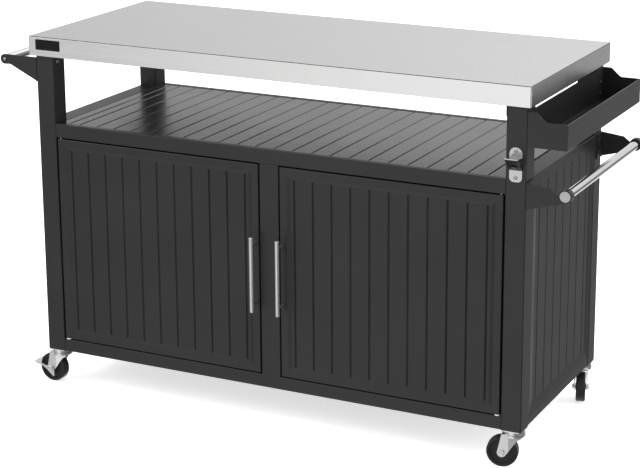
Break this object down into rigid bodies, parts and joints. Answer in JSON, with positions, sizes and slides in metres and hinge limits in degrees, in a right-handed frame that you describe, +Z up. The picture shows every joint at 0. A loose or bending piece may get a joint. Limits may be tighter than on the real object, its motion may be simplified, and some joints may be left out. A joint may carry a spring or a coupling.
{
  "type": "grill cart with storage",
  "caption": "Rolling outdoor kitchen cart with a folded steel worktop, an open grooved shelf, a two-door cabinet, a spice tray, a towel bar and a push bar.",
  "frame": {"origin": "middle of the whole cart's footprint, on the floor", "axes": "+X to the cart's right seen from the front, +Y from the front to the back, +Z up"},
  "size_m": [1.51, 0.569, 0.914],
  "materials": {
    "powder_coat": "fine matt powder coat",
    "worktop_steel": "brushed along its length",
    "bar_steel": "satin brushed",
    "fastener_steel": "plain, slightly dull",
    "zinc_plate": "bright zinc plating",
    "wheel_rubber": "moulded, satin",
    "white_plastic": "plain moulded",
    "grey_plastic": "plain moulded",
    "catch_plastic": "plain moulded",
    "blank_plate": "black enamel, bare"
  },
  "bodies": {
    "cart_frame": {"back_panel": "powder_coat", "badge_plate": "blank_plate", "bottle_opener": "bar_steel", "bottle_opener_screws": "fastener_steel", "cabinet_floor": "powder_coat", "caster_mount_front_left": "zinc_plate", "caster_mount_front_right": "zinc_plate", "caster_mount_rear_left": "zinc_plate", "caster_mount_rear_right": "zinc_plate", "centre_stile": "powder_coat", "corner_bolts": "fastener_steel", "corner_brackets": "powder_coat", "door_catches": "catch_plastic", "floor_ledges": "powder_coat", "front_bottom_rail": "powder_coat", "front_top_rail": "powder_coat", "hinge_pins": "fastener_steel", "hinge_washers": "white_plastic", "left_side_panel": "powder_coat", "left_top_rail": "powder_coat", "post_front_left": "powder_coat", "post_front_right": "powder_coat", "post_rear_left": "powder_coat", "post_rear_right": "powder_coat", "push_bar": "bar_steel", "push_bar_end_screws": "fastener_steel", "push_bracket_front": "powder_coat", "push_bracket_rear": "powder_coat", "rear_bottom_rail": "powder_coat", "rear_top_rail": "powder_coat", "right_side_panel": "powder_coat", "right_top_rail": "powder_coat", "shelf_deck": "powder_coat", "side_bottom_rails": "powder_coat", "spice_tray": "powder_coat", "tabletop": "worktop_steel", "top_stiffeners": "zinc_plate", "towel_bar": "bar_steel", "towel_bar_caps": "grey_plastic", "towel_bracket_front": "powder_coat", "towel_bracket_rear": "powder_coat", "tray_and_bracket_screws": "fastener_steel"},
    "left_door": {"left_door": "powder_coat", "left_door_handle": "bar_steel", "left_handle_screws": "fastener_steel", "left_door_strike": "fastener_steel"},
    "right_door": {"right_door": "powder_coat", "right_door_handle": "bar_steel", "right_handle_screws": "fastener_steel", "right_door_strike": "fastener_steel"},
    "fork_front_left": {"caster_fork_front_left": "zinc_plate"},
    "wheel_front_left": {"caster_wheel_front_left": "wheel_rubber"},
    "brake_front_left": {"brake_pedal_front_left": "zinc_plate"},
    "fork_front_right": {"caster_fork_front_right": "zinc_plate"},
    "wheel_front_right": {"caster_wheel_front_right": "wheel_rubber"},
    "fork_rear_left": {"caster_fork_rear_left": "zinc_plate"},
    "wheel_rear_left": {"caster_wheel_rear_left": "wheel_rubber"},
    "brake_rear_left": {"brake_pedal_rear_left": "zinc_plate"},
    "fork_rear_right": {"caster_fork_rear_right": "zinc_plate"},
    "wheel_rear_right": {"caster_wheel_rear_right": "wheel_rubber"}
  },
  "joints": [
    {"name": "left_door_hinge", "type": "hinge", "parent": "cart_frame", "child": "left_door", "pos_m": [-0.5875, -0.243, 0.3935], "axis": [0, 0, -1], "range_deg": [0, 105]},
    {"name": "right_door_hinge", "type": "hinge", "parent": "cart_frame", "child": "right_door", "pos_m": [0.5875, -0.243, 0.3935], "axis": [0, 0, 1], "range_deg": [0, 105]},
    {"name": "swivel_front_left", "type": "hinge", "parent": "cart_frame", "child": "fork_front_left", "pos_m": [-0.623, -0.2245, 0.084], "axis": [0, 0, 1], "continuous": true},
    {"name": "roll_front_left", "type": "hinge", "parent": "fork_front_left", "child": "wheel_front_left", "pos_m": [-0.64948, -0.22357, 0.0375], "axis": [-0.0349, -0.9994, 0], "continuous": true},
    {"name": "brake_press_front_left", "type": "hinge", "parent": "fork_front_left", "child": "brake_front_left", "pos_m": [-0.64948, -0.22357, 0.0375], "axis": [-0.0349, -0.9994, 0], "range_deg": [0, 20]},
    {"name": "swivel_front_right", "type": "hinge", "parent": "cart_frame", "child": "fork_front_right", "pos_m": [0.623, -0.2245, 0.084], "axis": [0, 0, 1], "continuous": true},
    {"name": "roll_front_right", "type": "hinge", "parent": "fork_front_right", "child": "wheel_front_right", "pos_m": [0.59708, -0.23001, 0.0375], "axis": [0.2079, -0.9781, 0], "continuous": true},
    {"name": "swivel_rear_left", "type": "hinge", "parent": "cart_frame", "child": "fork_rear_left", "pos_m": [-0.623, 0.2475, 0.084], "axis": [0, 0, 1], "continuous": true},
    {"name": "roll_rear_left", "type": "hinge", "parent": "fork_rear_left", "child": "wheel_rear_left", "pos_m": [-0.6342, 0.22348, 0.0375], "axis": [0.9063, -0.4226, 0], "continuous": true},
    {"name": "brake_press_rear_left", "type": "hinge", "parent": "fork_rear_left", "child": "brake_rear_left", "pos_m": [-0.6342, 0.22348, 0.0375], "axis": [0.9063, -0.4226, 0], "range_deg": [0, 20]},
    {"name": "swivel_rear_right", "type": "hinge", "parent": "cart_frame", "child": "fork_rear_right", "pos_m": [0.623, 0.2475, 0.084], "axis": [0, 0, 1], "continuous": true},
    {"name": "roll_rear_right", "type": "hinge", "parent": "fork_rear_right", "child": "wheel_rear_right", "pos_m": [0.63119, 0.2223, 0.0375], "axis": [0.9511, 0.309, 0], "continuous": true}
  ]
}
